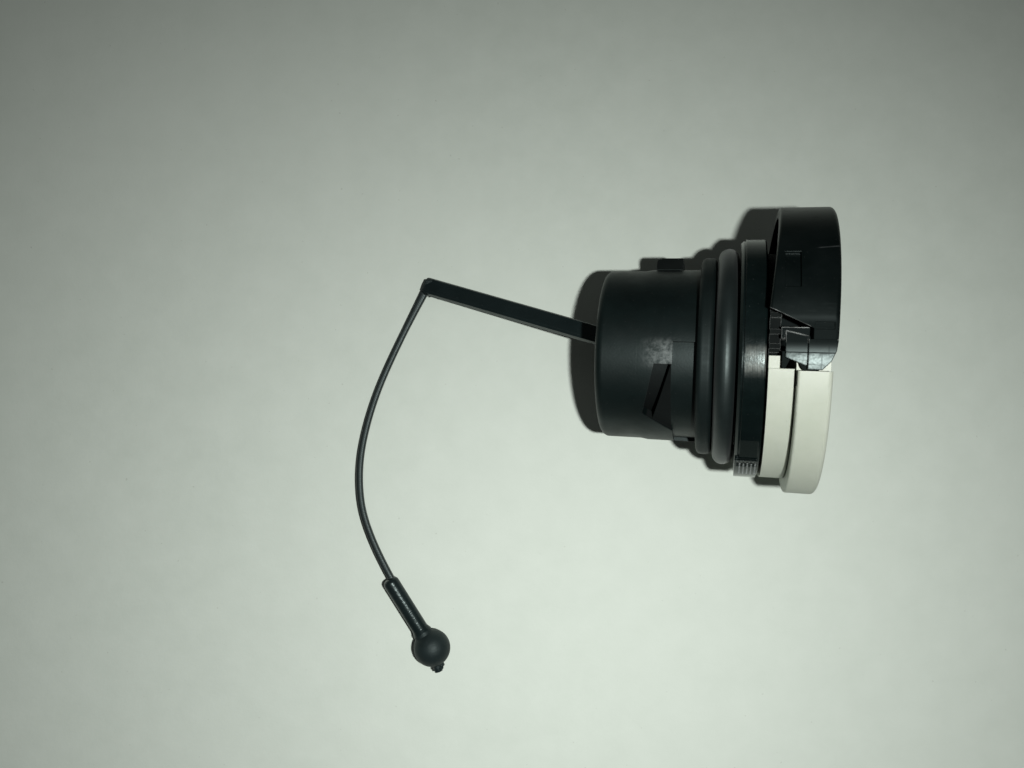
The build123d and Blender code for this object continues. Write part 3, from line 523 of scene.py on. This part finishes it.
def strap_tube(name, points):
    """Strap of rounded rectangular section along the points, with its run in mm as a UV map."""
    distance = [0.0]
    for before, here in zip(points, points[1:]):
        distance.append(distance[-1] + (here - before).length / MM)
    bm = bmesh.new()
    run = bm.loops.layers.uv.new("run")
    rings = []
    for i, point in enumerate(points):
        before, after = points[max(i - 1, 0)], points[min(i + 1, len(points) - 1)]
        along = (after - before).normalized()
        side = Vector((0, 0, 1)).cross(along).normalized()
        up = along.cross(side)
        wide = STRAP_WIDTH + STRAP_FLARE * max(0.0, 1 - distance[i] / FLARE_RUN) ** 1.5
        ring = []
        for cx, cz, start in ((1, 1, 0), (-1, 1, 90), (-1, -1, 180), (1, -1, 270)):
            for step in (0, 45, 90):
                turn = radians(start + step)
                a = cx * (wide / 2 - STRAP_CORNER) + STRAP_CORNER * cos(turn)
                b = cz * (STRAP_DEPTH / 2 - STRAP_CORNER) + STRAP_CORNER * sin(turn)
                ring.append(bm.verts.new(point + side * a + up * b))
        rings.append(ring)
    for face, i, k in skin(bm, rings):
        for loop, (at, corner) in zip(face.loops, ((i, k), (i, k + 1), (i + 1, k + 1), (i + 1, k))):
            loop[run].uv = (distance[at], corner * UV_PER_CORNER)
    return closed_object(name, bm)


path = smooth_path(STRAP_ROUTE)
strap = strap_tube("strap_run", path)
strap.data.materials.append(strap_black)
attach(strap, "tether")
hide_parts("tether_strap")


# ---- fine detail -----------------------------------------------------------------------------------
def pad_knurl():
    """Rows of small studs on the grip pad of the flange; their pale colour is a painted highlight."""
    rows, columns = 5, 9
    pad_r, rise = 19.14, 0.13
    first_z, row_pitch = 22.05, 0.56
    first_angle, column_turn, stagger = 54.5, 1.55, 0.75      # degrees
    half_turn, half_run = 0.17 / pad_r, 0.2
    bm = bmesh.new()
    for row in range(rows):
        for column in range(columns):
            z = first_z + row * row_pitch
            angle = radians(-first_angle - column * column_turn - (row % 2) * stagger)
            foot = []
            for a, b in ((-1, 0), (0, -1), (1, 0), (0, 1)):
                turn = angle + a * half_turn
                foot.append(bm.verts.new(in_cap(-pad_r * cos(turn), pad_r * sin(turn), z + b * half_run)))
            high = pad_r + rise
            tip = bm.verts.new(in_cap(-high * cos(angle), high * sin(angle), z))
            for k in range(4):
                bm.faces.new((foot[k], foot[(k + 1) % 4], tip))
            bm.faces.new(foot[::-1])
    return closed_object("pad_knurl", bm, smooth=False)


def seat_bead():
    """Low raised bead along the rim of the white seat, closing most of the gap under the grip."""
    bead_r, bead_top = 18.9, 28.76      # the seat ends at 28.65 and the grip starts at 28.9
    reach, steps = 79, 96      # degrees to each side of the seat's middle
    profile = ((-0.32, -0.5), (-0.28, -0.12), (-0.16, 0.0), (0.0, 0.0), (0.06, -0.06), (0.08, -0.14), (0.08, -0.5))
    bm = bmesh.new()
    rings = []
    for step in range(steps + 1):
        turn = radians(-reach + 2 * reach * step / steps)
        away = Vector((sin(turn), -cos(turn), 0))
        ring = []
        for out, up in profile:
            place = away * (bead_r + out)
            ring.append(bm.verts.new(in_cap(place.x, place.y, bead_top + up)))
        rings.append(ring)
    skin(bm, rings)
    return closed_object("seat_bead", bm)


def burr(name, lumps, seed):
    """Torn moulding flash: rough lumps run together, each (place in mm, three half sizes in mm, turn)."""
    roughness, fineness, apart = 0.45, 1.7, 3.1
    bm = bmesh.new()
    for number, (place, sizes, turn) in enumerate(lumps):
        made = bmesh.ops.create_icosphere(bm, subdivisions=3, radius=1.0)["verts"]
        for vert in made:
            rough = noise.noise(vert.co * fineness + Vector((seed, number * apart, 0)))
            point = vert.co * (1 + roughness * rough)
            point = Vector((point.x * sizes[0], point.y * sizes[1], point.z * sizes[2]))
            point.rotate(Matrix.Rotation(radians(turn), 3, "Z"))
            vert.co = (point + Vector(place)) * MM
    return mesh_object(name, bm)


knurl = pad_knurl()
knurl.data.materials.append(painted_glint_black)
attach(knurl, "plug")
bead = seat_bead()
bead.data.materials.append(white)
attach(bead, "head")
flash = burr("fold_flash", [
    ((FOLD[0] + 1.4, FOLD[1] - 1.75, 0.75), (0.5, 0.22, 0.35), -15),
    ((FOLD[0] + 2.1, FOLD[1] - 1.95, 0.8), (0.25, 0.3, 0.3), 0),
    ((FOLD[0] + 0.7, FOLD[1] - 1.7, 0.7), (0.4, 0.18, 0.3), 20)], 2.0)
sprue = burr("sprue_flash", [
    ((-29.62, -58.95, 3.2), (0.8, 0.5, 0.7), 20),
    ((-29.05, -58.3, 3.3), (0.5, 0.6, 0.5), 0),
    ((-30.0, -59.1, 3.2), (0.3, 0.35, 0.4), 0)], 7.0)
for piece in (flash, sprue):
    piece.data.materials.append(tether_black)
    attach(piece, "tether")


# ---- light -----------------------------------------------------------------------------------------
def lamp(name, place, size, power, colour, target=(0.0, 0.0, 0.01), spread=180):
    """Round area lamp at a place in m, turned to its target."""
    data = bpy.data.lights.new(name, "AREA")
    data.shape = "DISK"
    data.size = size
    data.energy = power
    data.color = colour
    data.spread = radians(spread)
    obj = link(bpy.data.objects.new(name, data))
    obj.location = place
    obj.rotation_euler = (Vector(target) - Vector(place)).to_track_quat("-Z", "Y").to_euler()


# the small key lamp stands close to the camera, as a phone's flash does, and is aimed past the cap
lamp("key", (0.007, -0.011, 0.172), 0.006, 0.244, (0.98, 1.0, 0.97), target=(-0.0146, -0.1019, 0.0), spread=140)
lamp("fill", (-0.12, 0.1, 0.28), 0.25, 0.012, (0.97, 1.0, 0.98))
world = bpy.data.worlds.new("studio")
bpy.context.scene.world = world
world.use_nodes = True
background = world.node_tree.nodes["Background"]
background.inputs["Color"].default_value = (0.96, 1.0, 0.96, 1)
background.inputs["Strength"].default_value = 0.045

scene = bpy.context.scene
scene.view_settings.view_transform = "Standard"
